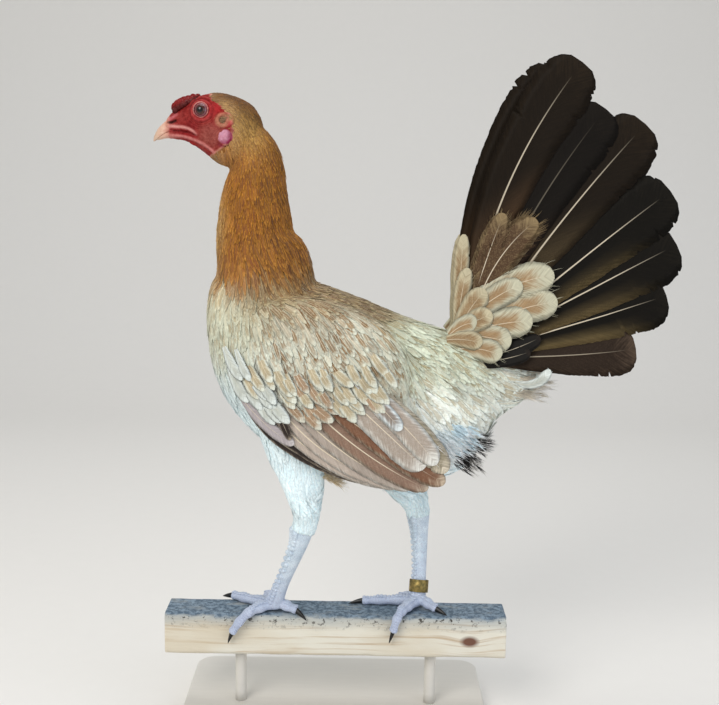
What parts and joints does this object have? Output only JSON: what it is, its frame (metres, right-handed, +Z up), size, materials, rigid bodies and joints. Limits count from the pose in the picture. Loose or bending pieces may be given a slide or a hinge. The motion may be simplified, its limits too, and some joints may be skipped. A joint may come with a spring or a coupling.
{
  "type": "gamefowl hen, life-size display model",
  "caption": "Life-size still model of a gamefowl hen with a low pea comb and a fanned tail, standing along a short roost bar on a plain stand.",
  "frame": {"origin": "centre of the stand's underside", "axes": "+Z up, the hen faces -X along the roost bar, and her left side is -Y"},
  "size_m": [0.4421, 0.18, 0.5802],
  "materials": {
    "face": "bare red skin, finely pimpled",
    "comb": "bare red skin",
    "horn": "pale horn",
    "eye": "wet and dark",
    "earlobe": "pinkish white skin",
    "hackle": "golden brown feathers with pale edges",
    "body": "cream feathers",
    "wing": "pinkish brown feathers with cream edges",
    "tail": "dark brown feathers",
    "leg": "white scales",
    "claw": "grey horn",
    "band": "dull yellow metal",
    "roost": "planed lumber with a weathered top",
    "stand": "plain warm grey"
  },
  "bodies": {
    "root": {"head": "face", "comb": "comb", "bill_upper": "horn", "bill_lower": "horn", "eye_left": "eye", "eye_right": "eye", "earlobe_left": "earlobe", "earlobe_right": "earlobe", "neck": "hackle", "torso": "body", "thigh_left": "body", "thigh_right": "body", "wing_left": "wing", "wing_right": "wing", "tail_left": "tail", "tail_right": "tail", "shank_left": "leg", "shank_right": "leg", "foot_left": "leg", "foot_right": "leg", "leg_band": "band", "perch": "roost", "stand_base": "stand", "stand_rod_front": "stand", "stand_rod_rear": "stand", "claw_left_1": "claw", "claw_left_2": "claw", "claw_left_3": "claw", "claw_left_4": "claw", "claw_right_1": "claw", "claw_right_2": "claw", "claw_right_3": "claw", "claw_right_4": "claw"}
  },
  "joints": []
}
